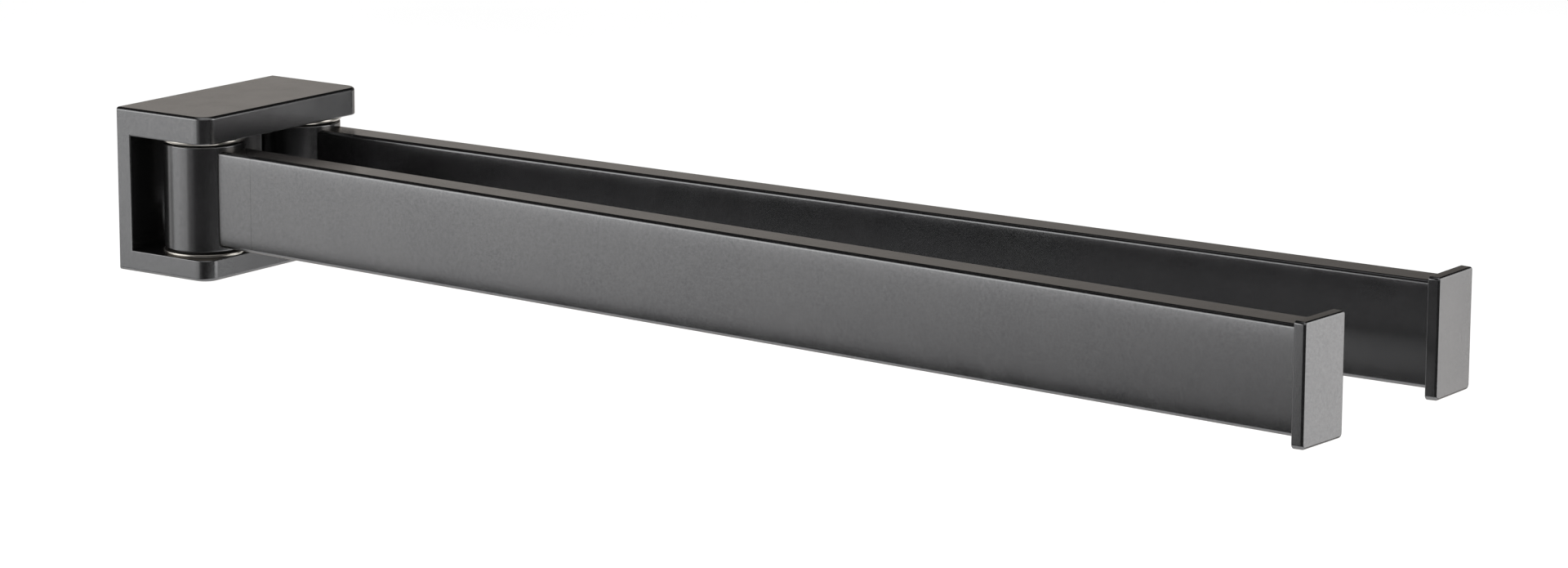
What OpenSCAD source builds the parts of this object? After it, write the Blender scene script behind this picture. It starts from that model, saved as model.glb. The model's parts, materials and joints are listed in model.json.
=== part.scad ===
// Double swing-arm towel bar, in millimetres, +Z up.
// The wall is the plane y = 0 and both arms reach out along -Y.
// The origin is the middle of the face that meets the wall.
// Each arm swings about an upright pin between the two flanges of a C-shaped bracket.
// The bracket hangs on a hidden plate that is screwed to the wall.
// Threads are drawn as plain cylinders of their nominal diameter.

/* [Bracket] */
// Width of the bracket along the wall
bracket_w = 73.5; // [72:0.5:90]
// Reach of the bracket out from the wall
bracket_d = 36.2; // [36:0.1:45]
// Height of the bracket
bracket_h = 51; // [50:0.5:60]
// Thickness of the web behind the barrels
web_t = 5.5; // [5:0.1:8]
// Thickness of the upper flange, which takes the threads of the pins
upper_flange_t = 8.6; // [8.2:0.1:12]
// Thickness of the lower flange, which the pins go in through
lower_flange_t = 6.6; // [6:0.1:10]
// Radius of the two upright front corners
corner_r = 4.8; // [3:0.1:6]
// Radius along the top and bottom edges of the bracket
rim_r = 1; // [0.4:0.1:1.5]
// Radius along the edges of the mouth
mouth_r = 0.4; // [0.3:0.1:1]

/* [Hinges] */
// Distance of each pin from the middle of the bracket
pivot_x = 22.8; // [20:0.2:23]
// Distance of the pins from the wall
pivot_y = 23.2; // [19.4:0.2:23.2]
// Radius of the barrels
barrel_r = 12.4; // [11:0.1:12.6]
// Radius of the shank of a pin
pin_r = 4; // [3.5:0.1:4.5]
// Running clearance between a turning face and a fixed one
running_gap = 0.05; // [0.02:0.01:0.08]
// Radius of the steel washers
washer_r = 12.8; // [12.2:0.1:12.9]
// Thickness of the steel washers
washer_t = 0.9; // [0.6:0.1:1.2]
// Radius of the flange of a bush
bush_flange_r = 11; // [9:0.1:11.4]
// Thickness of the flange of a bush
bush_flange_t = 0.55; // [0.4:0.05:1]
// Length of the sleeve of a bush
bush_l = 9; // [6:0.5:12]

/* [Arms] */
// Reach of an arm from its pin to the front of its end cap
arm_l = 406.8; // [200:0.2:600]
// Width of an arm
arm_w = 11; // [10:0.1:14]
// Height of an arm
arm_h = 30; // [26:0.5:30.5]
// Radius along the edges of an arm
arm_edge_r = 1; // [0.6:0.1:1.4]
// Wall thickness of the arm tubes
tube_t = 1.5; // [1:0.1:2]
// Distance of the seam between knuckle and tube from the pin
seam_y = 25; // [20:0.5:40]
// How far the left arm stands turned from straight out, in degrees
left_yaw = -3; // [-90:0.1:1.5]
// How far the right arm stands turned from straight out, in degrees
right_yaw = 0.5; // [-1.5:0.1:90]

/* [End caps] */
// Thickness of an end cap in front of its tube
cap_t = 3.5; // [3:0.5:8]
// How far a cap stands out of the arm on each side
cap_side = 4.3; // [1:0.1:4.5]
// How far a cap stands out of the arm above and below
cap_rise = 2.1; // [1:0.1:4]
// Radius of the corners of a cap
cap_corner_r = 1; // [0.8:0.1:2.5]
// Radius along the front edge of a cap
cap_front_r = 0.7; // [0.4:0.1:0.8]

/* [Wall plate] */
// Width of the wall plate
plate_w = 60; // [54:1:62]
// Height of the wall plate
plate_h = 39; // [30:0.5:40]
// Thickness of the wall plate
plate_t = 3.2; // [3:0.1:3.6]
// Distance between the two screw holes
hole_spacing = 40; // [30:1:44]
// Radius of the screw holes
hole_r = 2.75; // [2.2:0.05:3]
// Radius of the countersinks at the face of the plate
sink_r = 4.6; // [4:0.1:5]

/* [Hidden] */
$fn = 96;
eps = 0.01;
left = -1;
right = 1;

// heights, from the top of the bracket down
top_z = bracket_h / 2;
mouth_top = top_z - upper_flange_t;
mouth_bottom = lower_flange_t - top_z;
mouth_h = mouth_top - mouth_bottom;
mid_z = (mouth_top + mouth_bottom) / 2;
barrel_h = mouth_h - 2 * (washer_t + running_gap + bush_flange_t);
arm_bottom = mid_z - arm_h / 2;

// hinge pins: shoulder screws put in from below
head_r = 6.4;
head_h = 3.2;
head_well = 3.5;
head_play = 0.2;
pin_play = 0.05;
pin_thread_r = 3;
pin_thread_l = 5.4;
pin_hole_l = 5.6;
pin_key = 5;
pin_key_depth = 2;
pin_chamfer = 0.4;

// chamfer on the outer edges of the washers
washer_edge = 0.15;

// bushes and the friction ring that grips the pin between them
bush_r = 5.5;
ring_seat_r = 3;
ring_r = (bush_r - running_gap - ring_seat_r) / 2;
ring_side_play = 0.1;
ring_groove = 2 * (ring_r + ring_side_play);
barrel_rim_r = 0.5;

// spigot and plug, a sliding fit in the tube
fit_gap = 0.1;
inner_edge_r = 0.4;
spigot_w = arm_w - 2 * (tube_t + fit_gap);
spigot_h = arm_h - 2 * (tube_t + fit_gap);
spigot_l = 26;
plug_l = 15;
lead_in = 1;
tube_l = arm_l - cap_t - seam_y;
cap_back_r = 0.3;

// grub screw that locks a tube on its spigot, from below
lock_r = 2;
lock_l = 8;
lock_inset = 0.3;
lock_y = 13;
lock_well_r = 2.2;

// grub screws that clamp the bracket on its wall plate, from below
clamp_r = 1.5;
clamp_x = 20;
clamp_y = 2;
clamp_inset = 0.6;
hang_gap = 1;
side_gap = 0.4;
plate_corner_r = 3;

// hexagon sockets, given across the flats
clamp_key = 1.5;
lock_key = 2;
socket_depth = 1.6;

gunmetal = "#616263";
steel = "#a9a8a4";
zinc = "#b9bcc0";
polymer = "#161616";
rubber = "#1d1c1b";

// Places a fixed piece on the axis of a pin
module on_axis(side) {
    translate([side * pivot_x, -pivot_y, 0]) children();
}

// Places a piece of an arm, which points along -Y, at the angle that the arm stands at
module on_arm(side) {
    on_axis(side) rotate([0, 0, side == left ? left_yaw : right_yaw]) children();
}

// Half section of a plate, from its core out to a rim with a rounded top and bottom edge
module rim_section(reach, h, top_r, bottom_r) {
    difference() {
        square([reach, h]);
        translate([reach - top_r, h - top_r]) difference() {
            square(2 * top_r);
            circle(top_r);
        }
        translate([reach - bottom_r, bottom_r]) difference() {
            translate([0, -2 * bottom_r]) square(2 * bottom_r);
            circle(bottom_r);
        }
    }
}

// Straight stretch of rim that faces +X and runs along Y
module rim_strip(run, reach, h, top_r, bottom_r) {
    rotate([90, 0, 0])
        linear_extrude(run, center = true) rim_section(reach, h, top_r, bottom_r);
}

// Quarter turn of rim in the quadrant +X, -Y
module rim_corner(reach, h, top_r, bottom_r) {
    rotate([0, 0, -90])
        rotate_extrude(angle = 90) rim_section(reach, h, top_r, bottom_r);
}

// Flange of the bracket: square at the wall, rounded at both front corners
module flange(h, top_r, bottom_r) {
    core_w = bracket_w - 2 * corner_r;
    core_d = bracket_d - corner_r;
    translate([-core_w / 2, -core_d, 0]) cube([core_w, core_d, h]);
    translate([0, -core_d, 0]) rotate([0, 0, -90]) rim_strip(core_w, corner_r, h, top_r, bottom_r);
    for (m = [0, 1]) mirror([m, 0, 0]) {
        translate([core_w / 2, -core_d / 2, 0]) rim_strip(core_d, corner_r, h, top_r, bottom_r);
        translate([core_w / 2, -core_d, 0]) rim_corner(corner_r, h, top_r, bottom_r);
    }
}

// Plate centred on Z with all four corners rounded
module rounded_plate(w, d, h, r, top_r, bottom_r) {
    core_w = w - 2 * r;
    core_d = d - 2 * r;
    translate([-core_w / 2, -core_d / 2, 0]) cube([core_w, core_d, h]);
    for (turn = [0, 180]) rotate([0, 0, turn]) {
        translate([core_w / 2, 0, 0]) rim_strip(core_d, r, h, top_r, bottom_r);
        translate([0, -core_d / 2, 0]) rotate([0, 0, -90]) rim_strip(core_w, r, h, top_r, bottom_r);
        translate([core_w / 2, -core_d / 2, 0]) rim_corner(r, h, top_r, bottom_r);
        translate([core_w / 2, core_d / 2, 0]) rotate([0, 0, 90]) rim_corner(r, h, top_r, bottom_r);
    }
}

// Rectangle with rounded corners, centred
module rounded_rect(w, h, r) {
    square([w - 2 * r, h], center = true);
    square([w, h - 2 * r], center = true);
    for (x = [-1, 1], y = [-1, 1])
        translate([x * (w / 2 - r), y * (h / 2 - r)]) circle(r);
}

// Bar of an arm's section, from one distance along the arm to another
module arm_bar(w, h, r, from_y, to_y) {
    translate([0, -from_y, mid_z]) rotate([90, 0, 0])
        linear_extrude(to_y - from_y) rounded_rect(w, h, r);
}

// Bar that slides into a tube, narrower at its leading end
module tongue(from_y, to_y) {
    arm_bar(spigot_w, spigot_h, inner_edge_r, from_y - eps, to_y - lead_in);
    arm_bar(spigot_w - lead_in, spigot_h - lead_in, inner_edge_r, to_y - lead_in - eps, to_y);
}

// Hexagon hole for a key, opening downwards at z = 0
module key_socket(across_flats, depth) {
    translate([0, 0, -eps]) cylinder(h = depth + eps, r = across_flats / sqrt(3), $fn = 6);
}

module bracket() {
    head_well_top = -top_z + head_well;
    color(gunmetal) difference() {
        union() {
            translate([0, 0, mouth_top]) flange(upper_flange_t, rim_r, mouth_r);
            translate([0, 0, -top_z]) flange(lower_flange_t, mouth_r, rim_r);
            translate([-bracket_w / 2, -web_t, mouth_bottom]) cube([bracket_w, web_t, mouth_h]);
        }
        for (side = [left, right]) on_axis(side) {
            translate([0, 0, mouth_top - eps]) cylinder(h = pin_hole_l + eps, r = pin_thread_r);
            translate([0, 0, head_well_top - eps])
                cylinder(h = lower_flange_t - head_well + 2 * eps, r = pin_r + pin_play);
            translate([0, 0, -top_z - eps]) cylinder(h = head_well + eps, r = head_r + head_play);
        }
        // pocket for the wall plate, open to the wall
        translate([-plate_w / 2 - side_gap, -plate_t, -plate_h / 2 - hang_gap])
            cube([plate_w + 2 * side_gap, plate_t + eps, plate_h + hang_gap]);
        for (x = [-clamp_x, clamp_x]) translate([x, -clamp_y, -top_z - eps])
            cylinder(h = top_z - plate_h / 2, r = clamp_r);
    }
}

module wall_plate() {
    color(zinc) difference() {
        rotate([90, 0, 0]) linear_extrude(plate_t) rounded_rect(plate_w, plate_h, plate_corner_r);
        for (x = [-1, 1]) translate([x * hole_spacing / 2, 0, 0]) rotate([90, 0, 0]) {
            translate([0, 0, -eps]) cylinder(h = plate_t + 2 * eps, r = hole_r);
            translate([0, 0, plate_t - (sink_r - hole_r)])
                cylinder(h = sink_r - hole_r + eps, r1 = hole_r, r2 = sink_r + eps);
        }
    }
}

module bracket_clamp_screws() {
    length = top_z - plate_h / 2 - clamp_inset;
    color(steel) for (x = [-clamp_x, clamp_x]) translate([x, -clamp_y, -top_z + clamp_inset])
        difference() {
            cylinder(h = length, r = clamp_r);
            key_socket(clamp_key, socket_depth);
        }
}

// Shoulder screw: its head sits in the lower flange and its thread in the upper one
module pivot_pin(side) {
    seat = -top_z + head_well;
    color(steel) on_axis(side) difference() {
        union() {
            translate([0, 0, seat - head_h]) cylinder(h = pin_chamfer, r1 = head_r - pin_chamfer, r2 = head_r);
            translate([0, 0, seat - head_h + pin_chamfer]) cylinder(h = head_h - pin_chamfer, r = head_r);
            translate([0, 0, seat - eps]) cylinder(h = mouth_top - seat + eps, r = pin_r);
            translate([0, 0, mouth_top - eps]) cylinder(h = pin_thread_l + eps, r = pin_thread_r);
        }
        translate([0, 0, seat - head_h]) key_socket(pin_key, pin_key_depth);
        translate([0, 0, mid_z - ring_groove / 2]) difference() {
            cylinder(h = ring_groove, r = pin_r + eps);
            translate([0, 0, -eps]) cylinder(h = ring_groove + 2 * eps, r = ring_seat_r);
        }
    }
}

// Flat washer between a flange and the flange of a bush
module washer(side, bottom_z) {
    color(steel) on_axis(side) translate([0, 0, bottom_z]) rotate_extrude() polygon([
        [pin_r + pin_play, 0], [washer_r - washer_edge, 0], [washer_r, washer_edge],
        [washer_r, washer_t - washer_edge], [washer_r - washer_edge, washer_t],
        [pin_r + pin_play, washer_t]
    ]);
}

module upper_washer(side) washer(side, mouth_top - washer_t);

module lower_washer(side) washer(side, mouth_bottom);

// Bush with its flange on the end face of the barrel; drawn for the upper end
module bush() {
    rotate_extrude() polygon([
        [pin_r + running_gap, -bush_l], [bush_r, -bush_l], [bush_r, 0],
        [bush_flange_r, 0], [bush_flange_r, bush_flange_t], [pin_r + running_gap, bush_flange_t]
    ]);
}

module upper_bush(side) {
    color(polymer) on_arm(side) translate([0, 0, mid_z + barrel_h / 2]) bush();
}

module lower_bush(side) {
    color(polymer) on_arm(side) translate([0, 0, mid_z - barrel_h / 2]) mirror([0, 0, 1]) bush();
}

// Rubber ring in the groove of the pin, which rubs in the barrel and holds the arm where it is put
module friction_ring(side) {
    color(rubber) on_axis(side) translate([0, 0, mid_z])
        rotate_extrude() translate([ring_seat_r + ring_r, 0]) circle(ring_r, $fn = 48);
}

// Barrel with a flat block that carries the arm and a spigot inside the tube
module knuckle(side) {
    color(gunmetal) on_arm(side) difference() {
        union() {
            translate([0, 0, mid_z - barrel_h / 2]) rotate_extrude()
                rim_section(barrel_r, barrel_h, barrel_rim_r, barrel_rim_r);
            arm_bar(arm_w, arm_h, arm_edge_r, 0, seam_y);
            tongue(seam_y, seam_y + spigot_l);
        }
        translate([0, 0, mid_z]) cylinder(h = barrel_h + 2 * eps, r = bush_r, center = true);
        translate([0, -seam_y - lock_y, arm_bottom]) cylinder(h = lock_l + lock_inset, r = lock_r);
    }
}

module arm_tube(side) {
    color(gunmetal) on_arm(side) difference() {
        translate([0, -seam_y, mid_z]) rotate([90, 0, 0]) linear_extrude(tube_l) difference() {
            rounded_rect(arm_w, arm_h, arm_edge_r);
            rounded_rect(arm_w - 2 * tube_t, arm_h - 2 * tube_t, inner_edge_r);
        }
        translate([0, -seam_y - lock_y, arm_bottom - eps]) cylinder(h = tube_t + 2 * eps, r = lock_well_r);
    }
}

module arm_lock_screw(side) {
    color(steel) on_arm(side) translate([0, -seam_y - lock_y, arm_bottom + lock_inset]) difference() {
        cylinder(h = lock_l, r = lock_r);
        key_socket(lock_key, socket_depth);
    }
}

// Cap that closes the end of a tube, held by its plug
module end_cap(side) {
    back_y = arm_l - cap_t;
    color(gunmetal) on_arm(side) {
        translate([0, -back_y, mid_z]) rotate([90, 0, 0])
            rounded_plate(arm_w + 2 * cap_side, arm_h + 2 * cap_rise, cap_t,
                          cap_corner_r, cap_front_r, cap_back_r);
        arm_bar(spigot_w, spigot_h, inner_edge_r, back_y - plug_l + lead_in, back_y + eps);
        arm_bar(spigot_w - lead_in, spigot_h - lead_in, inner_edge_r,
                back_y - plug_l, back_y - plug_l + lead_in + eps);
    }
}

bracket();
wall_plate();
bracket_clamp_screws();
pivot_pin(left);  // left_pivot_pin
upper_washer(left);  // left_upper_washer
lower_washer(left);  // left_lower_washer
upper_bush(left);  // left_upper_bush
lower_bush(left);  // left_lower_bush
friction_ring(left);  // left_friction_ring
knuckle(left);  // left_knuckle
arm_tube(left);  // left_arm_tube
end_cap(left);  // left_end_cap
arm_lock_screw(left);  // left_arm_lock_screw
pivot_pin(right);  // right_pivot_pin
upper_washer(right);  // right_upper_washer
lower_washer(right);  // right_lower_washer
upper_bush(right);  // right_upper_bush
lower_bush(right);  // right_lower_bush
friction_ring(right);  // right_friction_ring
knuckle(right);  // right_knuckle
arm_tube(right);  // right_arm_tube
end_cap(right);  // right_end_cap
arm_lock_screw(right);  // right_arm_lock_screw
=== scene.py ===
"""Looks of a double swing-arm towel bar: a C-shaped wall bracket with two flat arms on upright pins."""

import json
import math

import bmesh
import bpy
from mathutils import Matrix, Vector


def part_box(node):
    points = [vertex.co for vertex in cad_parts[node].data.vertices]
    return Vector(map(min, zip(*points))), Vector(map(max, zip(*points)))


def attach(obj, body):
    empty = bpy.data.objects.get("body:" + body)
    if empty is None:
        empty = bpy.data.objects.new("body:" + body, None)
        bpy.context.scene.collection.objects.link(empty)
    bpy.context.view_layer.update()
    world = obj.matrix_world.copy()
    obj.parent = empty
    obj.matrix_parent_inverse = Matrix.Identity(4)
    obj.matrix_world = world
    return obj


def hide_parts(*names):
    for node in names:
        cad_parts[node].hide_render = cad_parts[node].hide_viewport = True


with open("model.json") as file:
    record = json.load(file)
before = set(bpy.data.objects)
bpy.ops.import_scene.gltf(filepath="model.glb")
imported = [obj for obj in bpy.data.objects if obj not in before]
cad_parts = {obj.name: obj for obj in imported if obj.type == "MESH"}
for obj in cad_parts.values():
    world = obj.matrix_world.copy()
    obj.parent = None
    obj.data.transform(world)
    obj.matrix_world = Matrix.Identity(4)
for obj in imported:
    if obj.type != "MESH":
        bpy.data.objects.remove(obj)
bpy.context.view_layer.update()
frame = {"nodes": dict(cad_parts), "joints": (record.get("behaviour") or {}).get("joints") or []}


def frame_box(node):
    """Lowest and highest corner of a CAD node at rest, in millimetres."""
    return [[round(1000 * v, 2) for v in corner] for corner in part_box(node)]


bracket_low, bracket_high = frame_box("bracket")
plate_low, plate_high = frame_box("wall_plate")
barrel_low, barrel_high = frame_box("right_knuckle")
tube_low, tube_high = frame_box("right_arm_tube")
washer_low, washer_high = frame_box("right_upper_washer")
bush_low, bush_high = frame_box("right_upper_bush")
pivot = next(joint["pos_m"] for joint in frame["joints"] if joint["name"] == "right_swing")

# Sizes in millimetres: what the frame gives, and beside it what the construction model has
PIVOT_X, PIVOT_Y = round(1000 * pivot[0], 2), round(-1000 * pivot[1], 2)
BRACKET_W, BRACKET_D, TOP_Z = 2 * bracket_high[0], -bracket_low[1], bracket_high[2]
MOUTH_TOP, MOUTH_BOTTOM, WEB_T = washer_high[2], frame_box("right_lower_washer")[0][2], 5.5
CORNER_R, RIM_R, MOUTH_R, BACK_R, HOLE_R = 4.8, 1.0, 0.4, 0.45, 0.2
PLATE_PLAY, PLATE_DROP = 0.4, 1.0
POCKET_W, POCKET_T = 2 * (plate_high[0] + PLATE_PLAY), -plate_low[1]
POCKET_Z, POCKET_H = plate_low[2] - PLATE_DROP, plate_high[2] - plate_low[2] + PLATE_DROP
CLAMP_X, CLAMP_Y, CLAMP_R = 20.0, 2.0, 1.5
HEAD_WELL, HEAD_WELL_R, PIN_HOLE_R, PIN_HOLE_L = 3.5, 6.6, 3.0, 5.6
PIN_R, PIN_PLAY, RUNNING_GAP = 4.0, 0.05, 0.05
WASHER_R, WASHER_T, WASHER_EDGE = washer_high[0] - PIVOT_X, washer_high[2] - washer_low[2], 0.15
BUSH_FLANGE_T, BUSH_L = bush_high[2] - barrel_high[2], barrel_high[2] - bush_low[2]
BUSH_FLANGE_R, BUSH_R, BUSH_EDGE = 11.0, 5.5, 0.12
MID_Z, BARREL_H = (barrel_low[2] + barrel_high[2]) / 2, barrel_high[2] - barrel_low[2]
BARREL_R, BARREL_RIM, BLOCK_Y, BLOCK_R, NECK_INSET = 12.4, 0.5, 11.3, 0.45, 0.5
ARM_W, ARM_H, ARM_R, ARM_L = 11.0, tube_high[2] - tube_low[2], 1.0, 406.8
CROWN_WIDE, CROWN_EDGE = 0.06, 0.26
TUBE_T, SEAM_Y, SEAM_R = 1.5, 25.0, 0.08
SPIGOT_W, SPIGOT_H, SPIGOT_R, SPIGOT_L, LEAD_IN = 7.8, 26.8, 0.4, 26.0, 1.0
LOCK_Y, LOCK_R, LOCK_WELL_R, LOCK_DEPTH = 13.0, 2.0, 2.2, 8.3
CAP_T, CAP_SIDE, CAP_RISE, CAP_CORNER, CAP_BACK, PLUG_L = 3.5, 4.3, 2.1, 0.9, 0.3, 15.0
CAP_LOW_CORNER, CAP_FRONT, CAP_DRAFT = 1.5, 0.7, 0.08
LEAST_R = 0.05
TOUCHING, ON_ARC, LEVEL = 0.01, 0.06, 0.001

# Angles in degrees: how far each arm is turned at rest, and which edges are rounded or shaded sharp
YAW = {"left": -3.0, "right": 0.5}
SIDE = {"left": -1, "right": 1}
ROUNDED_ABOVE, SHARP_ABOVE = 30, 38

# Stage, in metres; radiance is how bright a soft box looks
FLOOR_Z, FLOOR_R, FLOOR_MIDDLE, FLOOR_LIFT = -0.26, 2.6, (1.55, 1.15), 0.2
CARD_LIFT = 0.004
CARD_OUTLINE = ((-0.38, 1.3), (-2.4, 1.3), (-2.4, -2.8), (2.0, -2.8), (2.0, -0.7), (0.3, -0.58),
                (0.3, -0.85), (-0.38, -0.85))
LEFT_BOXES_FROM, LEFT_BOXES_ALONG = Vector((-0.54, 0.80, -0.08)), Vector((-0.588, -0.809, 0.0))
LEFT_BOXES = ((0.0, 0.42, 1.15), (0.42, 0.85, 0.98), (0.85, 1.35, 0.28))
LEFT_BOX_H = 0.36
LEFT_HIGH_BOX = {"place": (-0.78, 0.47, 0.217), "target": (0.005, -0.10, 0.217), "size": (0.84, 0.435),
                 "radiance": 1.95}
FRONT_SOFT_BOX = {"place": (0.472, -0.828, 0.08), "target": (0.0, -0.38, 0.08), "size": (0.46, 0.62),
                  "radiance": 2.1}
OVERHEAD_LAMP = {"place": (0.3, 0.1, 1.6), "target": (0.0, -0.15, 0.0), "size": (1.0, 1.0), "radiance": 1.2,
                 "glossy": False}

# What the metal sees around it: azimuths in degrees, and ranges of facing and of height, both from 0 to 1
AMBIENT = 0.85
WALL_AZIMUTH, WALL_FACING, WALL_UP, WALL_SIDE, WALL_ABOVE = 75, (0.50, 0.86), (0.24, 0.46), 0.14, 0.01
CEILING_UP, CEILING_BRIGHT = (0.84, 0.95), 0.8
FRONT_AZIMUTH, FRONT_FACING, FRONT_UP, FRONT_BRIGHT = 245, (0.25, 0.55), (0.26, 0.42), 0.7
WINDOW_AZIMUTH, WINDOW_FACING, WINDOW_FOOT, WINDOW_HEAD = 90, (0.70, 0.80), (0.36, 0.44), (0.54, 0.62)
WINDOW_BRIGHT = 0.5

# Camera fitted to the photograph: degrees, metres, and pixels of the photograph
VIEW_AZIMUTH, VIEW_ELEVATION, VIEW_ROLL = -54.6305, 11.8594, 0.2212
VIEW_PLACE = (-1.174987, -1.060183, 0.294400)
VIEW_FOCAL, VIEW_WIDTH = 6229.19, 1920
SENSOR_W, CLIP = 36, (0.05, 60)


# Mesh code. Meshes are made in millimetres and scaled once they are whole.

def new_mesh(name, points, faces):
    mesh = bpy.data.meshes.new(name)
    mesh.from_pydata(points, [], faces)
    bm = bmesh.new()
    bm.from_mesh(mesh)
    bmesh.ops.recalc_face_normals(bm, faces=bm.faces)
    bm.to_mesh(mesh)
    bm.free()
    return mesh


def loft(name, rings, closed=False):
    """Skin over rings of equally many points; closed joins the last ring to the first."""
    n = len(rings[0])
    points = [p for ring in rings for p in ring]
    faces = []
    for k in range(len(rings) if closed else len(rings) - 1):
        a, b = k * n, (k + 1) % len(rings) * n
        faces += [(a + i, a + (i + 1) % n, b + (i + 1) % n, b + i) for i in range(n)]
    if not closed:
        faces += [tuple(range(n)), tuple(range(len(points) - n, len(points)))]
    return new_mesh(name, points, faces)


def lathe(name, profile, steps=96, closed=False):
    """Turned part from (radius, height) pairs; closed is for a part with a bore."""
    turns = [2 * math.pi * i / steps for i in range(steps)]
    rings = [[(r * math.cos(t), r * math.sin(t), z) for t in turns] for r, z in profile]
    return loft(name, rings, closed)


def round_rect(w, h, r, steps=6, low_r=None):
    """Points round a rectangle with rounded corners; low_r is for the two lower ones."""
    points = []
    top_r, low_r = r, r if low_r is None else low_r
    for k, (sx, sy) in enumerate(((1, 1), (-1, 1), (-1, -1), (1, -1))):
        r = top_r if sy > 0 else low_r
        for i in range(steps + 1):
            t = math.radians(90 * k + 90 * i / steps)
            points.append((sx * (w / 2 - r) + r * math.cos(t), sy * (h / 2 - r) + r * math.sin(t)))
    return points


def bar_ring(w, h, r, y, inset=0.0):
    """One ring of a flat bar that runs along -Y, drawn in by inset all round."""
    shape = round_rect(w - 2 * inset, h - 2 * inset, max(r - inset, LEAST_R))
    return [(x, -y, MID_Z + z) for x, z in shape]


def cap_ring(y, inset):
    """One ring of an end cap, whose lower corners are rounder than its upper ones."""
    w, h = ARM_W + 2 * (CAP_SIDE - inset), ARM_H + 2 * (CAP_RISE - inset)
    shape = round_rect(w, h, max(CAP_CORNER - inset, LEAST_R), 8, max(CAP_LOW_CORNER - inset, LEAST_R))
    return [(x, -y, MID_Z + z) for x, z in shape]


def arm_ring(y, inset=0.0, steps=20):
    """One ring of an arm, whose tall sides fall away by a hair towards their edges."""
    shape = round_rect(ARM_W - 2 * inset, ARM_H - 2 * inset, max(ARM_R - inset, LEAST_R), 8)
    tall = ARM_H / 2 - ARM_R
    points = []
    for (x, z), (_, next_z) in zip(shape, shape[1:] + shape[:1]):
        points.append((x, z))
        if abs(next_z - z) > tall:
            fall = math.copysign(tall, z)
            points += [(x, z - fall * (1 - math.cos(math.pi * i / steps))) for i in range(1, steps)]
    ring = []
    for x, z in points:
        t = abs(z) / (ARM_H / 2)
        crown = CROWN_WIDE * t ** 2 + CROWN_EDGE * t ** 9
        ring.append((x - math.copysign(crown, x), -y, MID_Z + z))
    return ring


def eased(start, r, forward, steps=5):
    """Stations (distance, inset) of a rounded end: at the start of a bar, or at its end."""
    arc = [math.radians(90 * i / steps) for i in range(steps + 1)]
    if forward:
        return [(start + r - r * math.sin(t), r - r * math.cos(t)) for t in reversed(arc)]
    return [(start - r + r * math.sin(t), r - r * math.cos(t)) for t in arc]


def boolean(mesh, cutter, operation):
    """Exact boolean of two meshes, which are both used up."""
    a, b = bpy.data.objects.new("a", mesh), bpy.data.objects.new("b", cutter)
    for o in (a, b):
        bpy.context.scene.collection.objects.link(o)
    mod = a.modifiers.new("boolean", "BOOLEAN")
    mod.operation, mod.solver, mod.object = operation, "EXACT", b
    out = bpy.data.meshes.new_from_object(a.evaluated_get(bpy.context.evaluated_depsgraph_get()))
    for o in (a, b):
        bpy.data.objects.remove(o)
    for m in (mesh, cutter):
        bpy.data.meshes.remove(m)
    return out


def box_mesh(low, high):
    xs, ys, zs = zip(low, high)
    points = [(x, y, z) for z in zs for y in ys for x in xs]
    faces = [(0, 2, 3, 1), (4, 5, 7, 6), (0, 1, 5, 4), (2, 6, 7, 3), (0, 4, 6, 2), (1, 3, 7, 5)]
    return new_mesh("box", points, faces)


def drill(mesh, x, y, z0, z1, r, steps=64):
    cutter = lathe("drill", [(r, z0), (r, z1)], steps)
    cutter.transform(Matrix.Translation((x, y, 0)))
    return boolean(mesh, cutter, "DIFFERENCE")


def soften(mesh, width_at, segments=5):
    """Rounds each edge by the width that width_at gives for it, in millimetres."""
    widest = 1.0
    bm = bmesh.new()
    bm.from_mesh(mesh)
    bmesh.ops.remove_doubles(bm, verts=bm.verts, dist=1e-4)
    layer = bm.edges.layers.float.new("bevel_weight_edge")
    for e in bm.edges:
        if len(e.link_faces) == 2 and e.calc_face_angle(0) > math.radians(ROUNDED_ABOVE):
            e[layer] = min(width_at(e) / widest, 1.0)
    bm.to_mesh(mesh)
    bm.free()
    o = bpy.data.objects.new("soften", mesh)
    bpy.context.scene.collection.objects.link(o)
    mod = o.modifiers.new("bevel", "BEVEL")
    mod.limit_method, mod.width, mod.segments = "WEIGHT", widest, segments
    mod.use_clamp_overlap = False
    out = bpy.data.meshes.new_from_object(o.evaluated_get(bpy.context.evaluated_depsgraph_get()))
    bpy.data.objects.remove(o)
    bpy.data.meshes.remove(mesh)
    return out


def axis_place(side):
    return Matrix.Translation((SIDE[side] * PIVOT_X, -PIVOT_Y, 0))


def arm_place(side):
    return axis_place(side) @ Matrix.Rotation(math.radians(YAW[side]), 4, "Z")


def piece(name, mesh, place, body, slot, material, *nodes):
    """Turns a mesh in millimetres into a piece that stands for the given CAD nodes."""
    mesh.transform(Matrix.Scale(0.001, 4) @ place)
    mesh.name = name
    for p in mesh.polygons:
        p.use_smooth = True
    mesh.set_sharp_from_angle(angle=math.radians(SHARP_ABOVE))
    mesh.materials.clear()
    mesh.materials.append(material)
    o = bpy.data.objects.new(name, mesh)
    bpy.context.scene.collection.objects.link(o)
    mod = o.modifiers.new("normals", "WEIGHTED_NORMAL")
    mod.mode, mod.weight, mod.keep_sharp = "FACE_AREA", 100, True
    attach(o, body)
    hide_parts(*nodes)
    return o


# Materials

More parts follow.
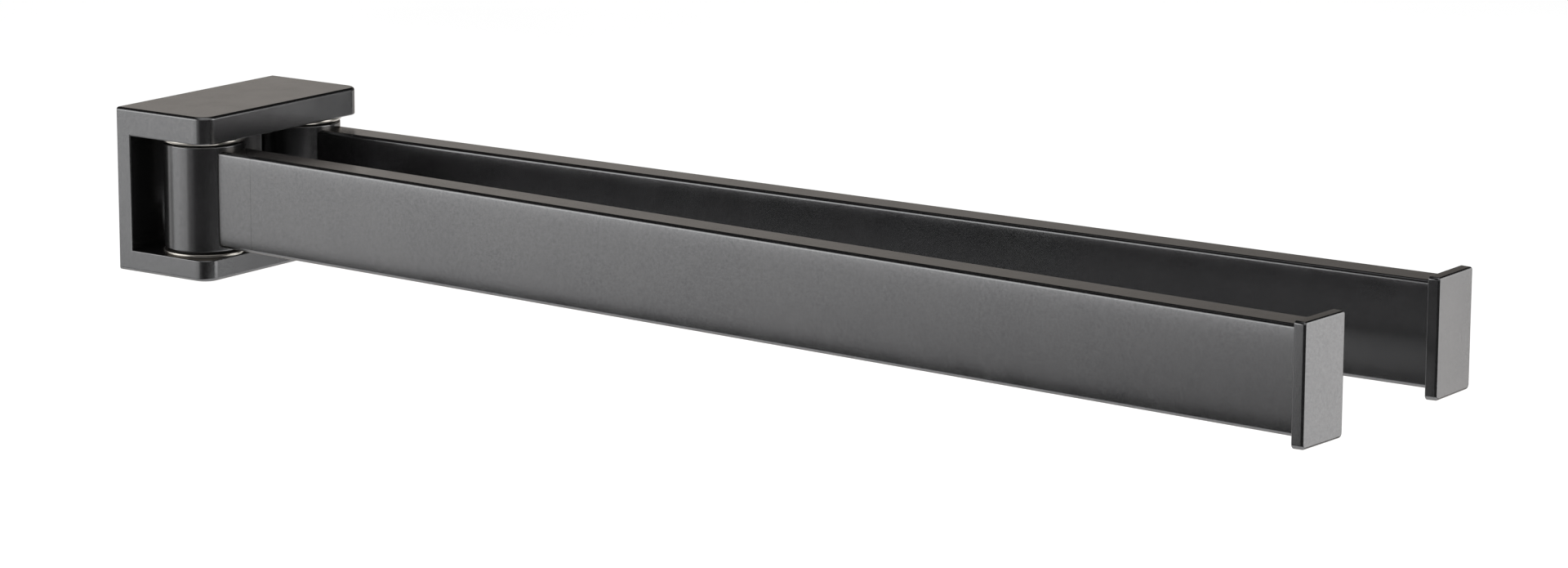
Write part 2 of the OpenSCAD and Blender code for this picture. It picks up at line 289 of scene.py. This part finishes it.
class Nodes:
    """Small helper that adds nodes and links to a material or world."""

    def __init__(self, owner):
        owner.use_nodes = True
        self.tree = owner.node_tree
        self.tree.nodes.clear()

    def add(self, kind, inputs=None, **settings):
        node = self.tree.nodes.new(kind)
        for key, value in settings.items():
            setattr(node, key, value)
        for key, value in (inputs or {}).items():
            if isinstance(value, bpy.types.NodeSocket):
                self.tree.links.new(value, node.inputs[key])
            else:
                node.inputs[key].default_value = value
        return node

    def math(self, operation, a, b=0.0):
        return self.add("ShaderNodeMath", {0: a, 1: b}, operation=operation).outputs[0]

    def noise(self, where, scale, detail=2.0, rough=0.5):
        return self.add("ShaderNodeTexNoise", {"Vector": where, "Scale": scale, "Detail": detail,
                                               "Roughness": rough}).outputs["Fac"]

    def span(self, value, low, high, to_low=0.0, to_high=1.0, smooth=False):
        kind = "SMOOTHSTEP" if smooth else "LINEAR"
        return self.add("ShaderNodeMapRange", {"Value": value, "From Min": low, "From Max": high,
                                               "To Min": to_low, "To Max": to_high},
                        interpolation_type=kind).outputs[0]

    def blend(self, factor, a, b):
        a, b = (v if isinstance(v, bpy.types.NodeSocket) else (*v, 1.0) for v in (a, b))
        return self.add("ShaderNodeMix", {0: factor, 6: a, 7: b}, data_type="RGBA").outputs[2]


def edge_mask(n, radius, low=0.02, high=0.25):
    """1 on worn convex and concave edges, 0 on flat ground."""
    bevel = n.add("ShaderNodeBevel", {"Radius": radius}, samples=6).outputs[0]
    true = n.add("ShaderNodeNewGeometry").outputs["Normal"]
    dot = n.add("ShaderNodeVectorMath", {0: bevel, 1: true}, operation="DOT_PRODUCT").outputs["Value"]
    return n.span(n.math("SUBTRACT", 1.0, dot), low, high)


def satin_metal():
    """Gunmetal finish with fine blasted grain, faint mottle and clouds, and slightly polished edges."""
    m = bpy.data.materials.new("gunmetal_satin")
    n = Nodes(m)
    where = n.add("ShaderNodeTexCoord").outputs["Object"]
    grain = n.noise(where, 2400, 2.0, 0.6)
    mottle = n.noise(where, 1100, 2.0, 0.6)
    cloud = n.noise(where, 34, 4.0, 0.55)
    smudge = n.noise(where, 85, 3.0, 0.6)
    specks = n.span(n.noise(where, 1500, 1.0), 0.74, 0.82)
    edge = edge_mask(n, 0.0005)
    tone = n.span(cloud, 0.3, 0.7)
    colour = n.blend(tone, (0.144, 0.145, 0.148), (0.160, 0.160, 0.162))
    colour = n.blend(n.span(grain, 0.35, 0.65, 0.0, 0.5), colour, (0.215, 0.215, 0.218))
    colour = n.blend(n.span(mottle, 0.35, 0.65, 0.0, 0.4), colour, (0.215, 0.215, 0.218))
    colour = n.blend(n.math("MULTIPLY", specks, 0.15), colour, (0.08, 0.08, 0.082))
    colour = n.blend(n.math("MULTIPLY", edge, 0.35), colour, (0.30, 0.295, 0.285))
    rough = n.math("ADD", n.span(smudge, 0.3, 0.7, 0.205, 0.235), n.span(grain, 0.3, 0.7, -0.02, 0.03))
    rough = n.math("SUBTRACT", rough, n.math("MULTIPLY", edge, 0.05))
    height = n.math("ADD", n.math("MULTIPLY", grain, 0.5), n.math("MULTIPLY", cloud, 0.4))
    bump = n.add("ShaderNodeBump", {"Height": height, "Strength": 0.25, "Distance": 0.00002}).outputs[0]
    shader = n.add("ShaderNodeBsdfPrincipled", {"Base Color": colour, "Roughness": rough, "Normal": bump,
                                                "Metallic": 0.985, "Specular Tint": (0.52, 0.49, 0.46, 1.0)})
    n.add("ShaderNodeOutputMaterial", {"Surface": shader.outputs[0]})
    return m


def turned_steel(name, centre, colour, rough):
    """Machined steel with turning marks round an upright axis, given in metres."""
    m = bpy.data.materials.new(name)
    n = Nodes(m)
    where = n.add("ShaderNodeTexCoord").outputs["Object"]
    middle = (centre[0], centre[1], 0)
    offset = n.add("ShaderNodeVectorMath", {0: where, 1: middle}, operation="SUBTRACT").outputs[0]
    flat = n.add("ShaderNodeVectorMath", {0: offset, 1: (1, 1, 0)}, operation="MULTIPLY").outputs[0]
    radius = n.add("ShaderNodeVectorMath", {0: flat}, operation="LENGTH").outputs["Value"]
    height = n.add("ShaderNodeSeparateXYZ", {0: where}).outputs[2]
    marks = n.add("ShaderNodeCombineXYZ", {0: radius, 1: height}).outputs[0]
    lines = n.noise(marks, 5200, 2.0, 0.6)
    stain = n.noise(where, 240, 3.0)
    edge = edge_mask(n, 0.0003)
    dark = tuple(0.72 * c for c in colour)
    base = n.blend(n.span(stain, 0.3, 0.7), dark, colour)
    base = n.blend(n.math("MULTIPLY", edge, 0.5), base, tuple(min(1.25 * c, 0.9) for c in colour))
    roughness = n.span(lines, 0.3, 0.7, rough - 0.05, rough + 0.08)
    bump = n.add("ShaderNodeBump", {"Height": lines, "Strength": 0.35, "Distance": 0.00001}).outputs[0]
    shader = n.add("ShaderNodeBsdfPrincipled", {"Base Color": base, "Roughness": roughness, "Normal": bump,
                                                "Metallic": 1.0})
    n.add("ShaderNodeOutputMaterial", {"Surface": shader.outputs[0]})
    return m


def plated_steel():
    """Zinc-plated sheet with rolling marks along it and cloudy patches."""
    m = bpy.data.materials.new("plate_zinc")
    n = Nodes(m)
    where = n.add("ShaderNodeTexCoord").outputs["Object"]
    along = n.add("ShaderNodeMapping", {"Vector": where, "Scale": (60, 2400, 2400)}).outputs[0]
    lines = n.noise(along, 1.0, 3.0, 0.6)
    cloud = n.noise(where, 130, 4.0, 0.6)
    edge = edge_mask(n, 0.0004)
    base = n.blend(n.span(cloud, 0.3, 0.7), (0.42, 0.43, 0.45), (0.58, 0.58, 0.58))
    base = n.blend(n.math("MULTIPLY", edge, 0.4), base, (0.74, 0.74, 0.73))
    rough = n.span(lines, 0.3, 0.7, 0.32, 0.46)
    bump = n.add("ShaderNodeBump", {"Height": lines, "Strength": 0.3, "Distance": 0.00001}).outputs[0]
    shader = n.add("ShaderNodeBsdfPrincipled", {"Base Color": base, "Roughness": rough, "Normal": bump,
                                                "Metallic": 1.0})
    n.add("ShaderNodeOutputMaterial", {"Surface": shader.outputs[0]})
    return m


def moulded(name, dark, light, rough, grain_scale):
    """Moulded plastic or rubber with a fine eroded texture."""
    m = bpy.data.materials.new(name)
    n = Nodes(m)
    where = n.add("ShaderNodeTexCoord").outputs["Object"]
    grain = n.noise(where, grain_scale, 3.0, 0.6)
    cloud = n.noise(where, 300, 2.0)
    edge = edge_mask(n, 0.0002)
    base = n.blend(n.span(cloud, 0.3, 0.7), dark, light)
    base = n.blend(n.math("MULTIPLY", edge, 0.3), base, tuple(2.0 * c for c in light))
    roughness = n.span(grain, 0.3, 0.7, rough - 0.06, rough + 0.08)
    bump = n.add("ShaderNodeBump", {"Height": grain, "Strength": 0.3, "Distance": 0.00001}).outputs[0]
    shader = n.add("ShaderNodeBsdfPrincipled", {"Base Color": base, "Roughness": roughness, "Normal": bump})
    n.add("ShaderNodeOutputMaterial", {"Surface": shader.outputs[0]})
    return m


gunmetal = satin_metal()
zinc = plated_steel()
polymer = moulded("bush_polymer_black", (0.006, 0.006, 0.006), (0.012, 0.012, 0.012), 0.5, 3000)
rubber = moulded("ring_rubber_black", (0.009, 0.009, 0.008), (0.017, 0.016, 0.015), 0.75, 2200)


# Bracket

def on_outline(x, y):
    """Whether a point lies on the bracket's side or front faces, seen from above."""
    dx = max(abs(x) - (BRACKET_W / 2 - CORNER_R), 0)
    dy = max(-y - (BRACKET_D - CORNER_R), 0)
    if dx > 0 and dy > 0:
        return abs(math.hypot(dx, dy) - CORNER_R) < ON_ARC
    return abs(abs(x) - BRACKET_W / 2) < TOUCHING or abs(y + BRACKET_D) < TOUCHING


def bracket_edge(e):
    """How wide one edge of the bracket is rounded."""
    def at(place, wanted):
        return abs(place - wanted) < TOUCHING

    a, b = (v.co for v in e.verts)
    mid = (a + b) / 2
    if at(mid.y, 0) and at(a.y, b.y):
        outer = at(abs(mid.x), BRACKET_W / 2) or at(abs(mid.z), TOP_Z)
        return BACK_R if outer else HOLE_R
    level = abs(a.z - b.z) < LEVEL
    if on_outline(mid.x, mid.y):
        if level and at(abs(mid.z), TOP_Z):
            return RIM_R
        if level and (at(mid.z, MOUTH_TOP) or at(mid.z, MOUTH_BOTTOM)):
            return MOUTH_R
        if at(mid.y, -WEB_T):
            return MOUTH_R
    if level and at(mid.z, -TOP_Z):
        return HOLE_R
    return 0.0


def bracket_mesh():
    w, d, r, steps = BRACKET_W / 2, BRACKET_D, CORNER_R, 14
    outline = [(w, 0), (-w, 0)]
    for cx, start in ((-w + r, 180), (w - r, 270)):
        for i in range(steps + 1):
            t = math.radians(start + 90 * i / steps)
            outline.append((cx + r * math.cos(t), -d + r + r * math.sin(t)))
    mesh = loft("bracket", [[(x, y, z) for x, y in outline] for z in (-TOP_Z, TOP_Z)])
    mesh = boolean(mesh, box_mesh((-60, -60, MOUTH_BOTTOM), (60, -WEB_T, MOUTH_TOP)), "DIFFERENCE")
    pocket = box_mesh((-POCKET_W / 2, -POCKET_T, POCKET_Z), (POCKET_W / 2, 5, POCKET_Z + POCKET_H))
    mesh = boolean(mesh, pocket, "DIFFERENCE")
    for sign in (-1, 1):
        x = sign * PIVOT_X
        mesh = drill(mesh, x, -PIVOT_Y, MOUTH_TOP - 1, MOUTH_TOP + PIN_HOLE_L, PIN_HOLE_R)
        mesh = drill(mesh, x, -PIVOT_Y, -TOP_Z - 1, MOUTH_BOTTOM + 1, PIN_R + PIN_PLAY)
        mesh = drill(mesh, x, -PIVOT_Y, -TOP_Z - 1, -TOP_Z + HEAD_WELL, HEAD_WELL_R)
        mesh = drill(mesh, sign * CLAMP_X, -CLAMP_Y, -TOP_Z - 1, POCKET_Z + 1, CLAMP_R, 32)
    return soften(mesh, bracket_edge)


piece("bracket_body", bracket_mesh(), Matrix(), "base", "gunmetal", gunmetal, "bracket")


# Hinges and arms

def barrel_mesh():
    half, r = BARREL_H / 2, BARREL_RIM
    arc = [math.radians(90 * i / 5) for i in range(6)]
    low = [(BARREL_R - r + r * math.sin(t), MID_Z - half + r - r * math.cos(t)) for t in arc]
    high = [(BARREL_R - r + r * math.cos(t), MID_Z + half - r + r * math.sin(t)) for t in arc]
    bore = [(BUSH_R, MID_Z + half), (BUSH_R, MID_Z - half)]
    return lathe("barrel", low + high + bore, 128, closed=True)


def knuckle_mesh():
    """Barrel, neck, block and spigot as one solid, with a fine groove where block and barrel meet."""
    spigot_end = SEAM_Y + SPIGOT_L
    neck = loft("neck", [arm_ring(y, NECK_INSET) for y in (BUSH_R + 2, BLOCK_Y + 1)])
    stations = eased(BLOCK_Y, BLOCK_R, True) + eased(SEAM_Y, SEAM_R, False, 2)
    block = loft("block", [arm_ring(y, i) for y, i in stations])
    spigot = loft("spigot", [bar_ring(SPIGOT_W, SPIGOT_H, SPIGOT_R, y, i) for y, i in
                             ((SEAM_Y - 3, 0), (spigot_end - LEAD_IN, 0), (spigot_end, LEAD_IN / 2))])
    mesh = boolean(barrel_mesh(), neck, "UNION")
    mesh = boolean(mesh, block, "UNION")
    mesh = boolean(mesh, spigot, "UNION")
    bottom = MID_Z - ARM_H / 2
    return drill(mesh, 0, -SEAM_Y - LOCK_Y, bottom - 1, bottom + LOCK_DEPTH, LOCK_R, 32)


def tube_mesh():
    end = ARM_L - CAP_T
    outer = [arm_ring(y, i) for y, i in eased(SEAM_Y, SEAM_R, True, 2)] + [arm_ring(end)]
    hollow_w, hollow_h = ARM_W - 2 * TUBE_T, ARM_H - 2 * TUBE_T
    inner = [bar_ring(hollow_w, hollow_h, SPIGOT_R, y) for y in (end + 1, SEAM_Y - 1)]
    mesh = boolean(loft("tube", outer), loft("hollow", inner), "DIFFERENCE")
    bottom = MID_Z - ARM_H / 2
    return drill(mesh, 0, -SEAM_Y - LOCK_Y, bottom - 1, bottom + TUBE_T + 0.5, LOCK_WELL_R, 32)


def cap_mesh():
    back = ARM_L - CAP_T
    front = [(y, i + CAP_DRAFT) for y, i in eased(ARM_L, CAP_FRONT, False, 6)]
    stations = eased(back, CAP_BACK, True, 3) + front
    plate = loft("cap", [cap_ring(y, i) for y, i in stations])
    plug_end = back - PLUG_L
    plug = loft("plug", [bar_ring(SPIGOT_W, SPIGOT_H, SPIGOT_R, y, i) for y, i in
                         ((plug_end, LEAD_IN / 2), (plug_end + LEAD_IN, 0), (back + 1, 0))])
    return boolean(plate, plug, "UNION")


def washer_mesh(bottom):
    r, e, top, bore = WASHER_R, WASHER_EDGE, bottom + WASHER_T, PIN_R + PIN_PLAY
    low = [(bore, bottom), (r - e, bottom), (r - 0.3 * e, bottom + 0.3 * e), (r, bottom + e)]
    high = [(r, top - e), (r - 0.3 * e, top - 0.3 * e), (r - e, top), (bore, top)]
    return lathe("washer", low + high, 128, closed=True)


def bush_mesh(upwards):
    e, bore, r, t = BUSH_EDGE, PIN_R + RUNNING_GAP, BUSH_FLANGE_R, BUSH_FLANGE_T
    profile = [(bore, -BUSH_L), (BUSH_R, -BUSH_L), (BUSH_R, 0),
               (r - e, 0), (r, e), (r, t - e), (r - e, t), (bore, t)]
    if not upwards:
        profile = [(r, -z) for r, z in reversed(profile)]
    base = MID_Z + (BARREL_H / 2 if upwards else -BARREL_H / 2)
    return lathe("bush", [(r, base + z) for r, z in profile], 96, closed=True)


for side in ("left", "right"):
    arm, axis = side + "_arm", axis_place(side)
    place = arm_place(side)
    centre = (SIDE[side] * PIVOT_X / 1000, -PIVOT_Y / 1000)
    washer_steel = turned_steel(side + "_washer_steel", centre, (0.60, 0.57, 0.52), 0.26)
    pin_steel = turned_steel(side + "_pin_steel", centre, (0.36, 0.355, 0.35), 0.32)
    piece(side + "_hinge_barrel", knuckle_mesh(), place, arm, "gunmetal", gunmetal, side + "_knuckle")
    piece(side + "_flat_arm", tube_mesh(), place, arm, "gunmetal", gunmetal, side + "_arm_tube")
    piece(side + "_cap", cap_mesh(), place, arm, "gunmetal", gunmetal, side + "_end_cap")
    for end, bottom in (("upper", MOUTH_TOP - WASHER_T), ("lower", MOUTH_BOTTOM)):
        piece(f"{side}_{end}_ring", washer_mesh(bottom), axis, "base", "washer_steel", washer_steel,
              f"{side}_{end}_washer")
        piece(f"{side}_{end}_bearing", bush_mesh(end == "upper"), place, arm, "bush_polymer", polymer,
              f"{side}_{end}_bush")
    for node, material in ((side + "_pivot_pin", pin_steel), (side + "_friction_ring", rubber),
                           (side + "_arm_lock_screw", pin_steel)):
        frame["nodes"][node].material_slots[0].material = material

frame["nodes"]["wall_plate"].material_slots[0].material = zinc
frame["nodes"]["bracket_clamp_screws"].material_slots[0].material = turned_steel(
    "clamp_screw_steel", (0.0, 0.0), (0.30, 0.30, 0.30), 0.34)


# Stage: pale floor, background and soft lamps

def flat_sheet(name, outline, z):
    """Single level face."""
    mesh = bpy.data.meshes.new(name)
    mesh.from_pydata([(x, y, z) for x, y in outline], [], [tuple(range(len(outline)))])
    sheet = bpy.data.objects.new(name, mesh)
    bpy.context.scene.collection.objects.link(sheet)
    return sheet


def stage_floor(steps=96):
    """Round pale floor under and behind the object."""
    turns = [2 * math.pi * i / steps for i in range(steps)]
    middle_x, middle_y = FLOOR_MIDDLE
    outline = [(middle_x + FLOOR_R * math.cos(t), middle_y + FLOOR_R * math.sin(t)) for t in turns]
    floor = flat_sheet("floor", outline, FLOOR_Z)
    m = bpy.data.materials.new("floor_pale")
    n = Nodes(m)
    where = n.add("ShaderNodeTexCoord").outputs["Object"]
    tone = n.span(n.noise(where, 3, 2.0), 0.3, 0.7)
    colour = n.blend(tone, (0.90, 0.90, 0.90), (0.93, 0.93, 0.93))
    rays = n.add("ShaderNodeLightPath").outputs
    seen = n.math("MAXIMUM", rays["Is Camera Ray"], rays["Is Glossy Ray"])
    seen = n.math("MAXIMUM", seen, rays["Is Transmission Ray"])
    lit = n.add("ShaderNodeBsdfDiffuse", {"Color": colour})
    strength = n.math("MULTIPLY", seen, FLOOR_LIFT)
    lift = n.add("ShaderNodeEmission", {"Color": (1, 1, 1, 1), "Strength": strength})
    shader = n.add("ShaderNodeAddShader", {0: lit.outputs[0], 1: lift.outputs[0]})
    n.add("ShaderNodeOutputMaterial", {"Surface": shader.outputs[0]})
    floor.data.materials.append(m)


def black_card():
    """Dark card on the floor that only the metal sees, like the flags of a studio."""
    card = flat_sheet("floor_card", CARD_OUTLINE, FLOOR_Z + CARD_LIFT)
    m = bpy.data.materials.new("black_card")
    n = Nodes(m)
    where = n.add("ShaderNodeTexCoord").outputs["Object"]
    colour = n.blend(n.noise(where, 8, 2.0), (0.018, 0.018, 0.018), (0.028, 0.028, 0.028))
    shader = n.add("ShaderNodeBsdfDiffuse", {"Color": colour})
    n.add("ShaderNodeOutputMaterial", {"Surface": shader.outputs[0]})
    card.data.materials.append(m)
    card.visible_camera = card.visible_diffuse = card.visible_transmission = card.visible_shadow = False


def studio_world():
    """White background; in reflections a white wall behind, a bright ceiling and front, and dark gaps."""
    world = bpy.data.worlds.new("studio")
    bpy.context.scene.world = world
    n = Nodes(world)
    rays = n.add("ShaderNodeLightPath").outputs
    direction = n.add("ShaderNodeTexCoord").outputs["Generated"]

    def facing(azimuth):
        axis = (math.cos(math.radians(azimuth)), math.sin(math.radians(azimuth)), 0)
        turned = n.add("ShaderNodeVectorMath", {0: direction, 1: axis}, operation="DOT_PRODUCT")
        return turned.outputs["Value"]

    up = n.add("ShaderNodeSeparateXYZ", {0: direction}).outputs[2]
    wall = n.math("MULTIPLY", n.span(facing(WALL_AZIMUTH), *WALL_FACING, WALL_SIDE, 1.0, smooth=True),
                  n.span(up, *WALL_UP, 1.0, WALL_ABOVE, smooth=True))
    ceiling = n.span(up, *CEILING_UP, 0.0, CEILING_BRIGHT, smooth=True)
    front = n.math("MULTIPLY", n.span(facing(FRONT_AZIMUTH), *FRONT_FACING, 0.0, FRONT_BRIGHT, smooth=True),
                   n.span(up, *FRONT_UP, smooth=True))
    window = n.math("MULTIPLY", n.span(up, *WINDOW_FOOT, smooth=True),
                    n.span(up, *WINDOW_HEAD, WINDOW_BRIGHT, 0.0, smooth=True))
    window = n.math("MULTIPLY", window, n.span(facing(WINDOW_AZIMUTH), *WINDOW_FACING, smooth=True))
    glossy = wall
    for patch in (ceiling, front, window):
        glossy = n.math("MAXIMUM", glossy, patch)
    seen = n.math("MAXIMUM", rays["Is Camera Ray"], rays["Is Transmission Ray"])
    strength = n.add("ShaderNodeMix", {0: rays["Is Glossy Ray"], 2: AMBIENT, 3: glossy}).outputs[0]
    strength = n.add("ShaderNodeMix", {0: seen, 2: strength, 3: 1.0}).outputs[0]
    shader = n.add("ShaderNodeBackground", {"Color": (1, 1, 1, 1), "Strength": strength})
    n.add("ShaderNodeOutputWorld", {"Surface": shader.outputs[0]})


def soft_lamp(name, place, target, size, radiance, glossy=True):
    """Rectangular soft box; radiance is how bright its face looks."""
    light = bpy.data.lights.new(name, "AREA")
    light.shape, light.size, light.size_y = "RECTANGLE", size[0], size[1]
    light.energy = radiance * size[0] * size[1] * math.pi
    lamp = bpy.data.objects.new(name, light)
    bpy.context.scene.collection.objects.link(lamp)
    lamp.location = place
    lamp.rotation_euler = (Vector(target) - Vector(place)).to_track_quat("-Z", "Y").to_euler()
    lamp.visible_glossy = glossy
    lamp.visible_camera = False


def left_soft_boxes():
    """Upright row of boxes on the left, dimmer towards the camera, which the arms' sides reflect."""
    across = Vector((-LEFT_BOXES_ALONG.y, LEFT_BOXES_ALONG.x, 0.0))
    for number, (start, end, radiance) in enumerate(LEFT_BOXES):
        middle = LEFT_BOXES_FROM + (start + end) / 2 * LEFT_BOXES_ALONG
        size = (end - start, LEFT_BOX_H)
        soft_lamp(f"left_soft_box_{number}", middle, middle + across, size, radiance)


def view_camera():
    """Camera fitted to the photograph's perspective."""
    azimuth, elevation, roll = (math.radians(v) for v in (VIEW_AZIMUTH, VIEW_ELEVATION, VIEW_ROLL))
    back = Vector((math.sin(azimuth) * math.cos(elevation), -math.cos(azimuth) * math.cos(elevation),
                   math.sin(elevation)))
    right = Vector((math.cos(azimuth), math.sin(azimuth), 0))
    up = back.cross(right)
    rolled_right = math.cos(roll) * right + math.sin(roll) * up
    rolled_up = math.cos(roll) * up - math.sin(roll) * right
    data = bpy.data.cameras.new("view")
    data.sensor_width = SENSOR_W
    data.lens = VIEW_FOCAL / VIEW_WIDTH * SENSOR_W
    data.clip_start, data.clip_end = CLIP
    camera = bpy.data.objects.new("view", data)
    bpy.context.scene.collection.objects.link(camera)
    turn = Matrix((rolled_right, rolled_up, back)).transposed().to_4x4()
    camera.matrix_world = Matrix.Translation(VIEW_PLACE) @ turn
    bpy.context.scene.camera = camera


stage_floor()
studio_world()
black_card()
left_soft_boxes()
soft_lamp("left_high_box", **LEFT_HIGH_BOX)
soft_lamp("front_soft_box", **FRONT_SOFT_BOX)
soft_lamp("overhead_lamp", **OVERHEAD_LAMP)
view_camera()
bpy.context.scene.view_settings.view_transform = "Standard"
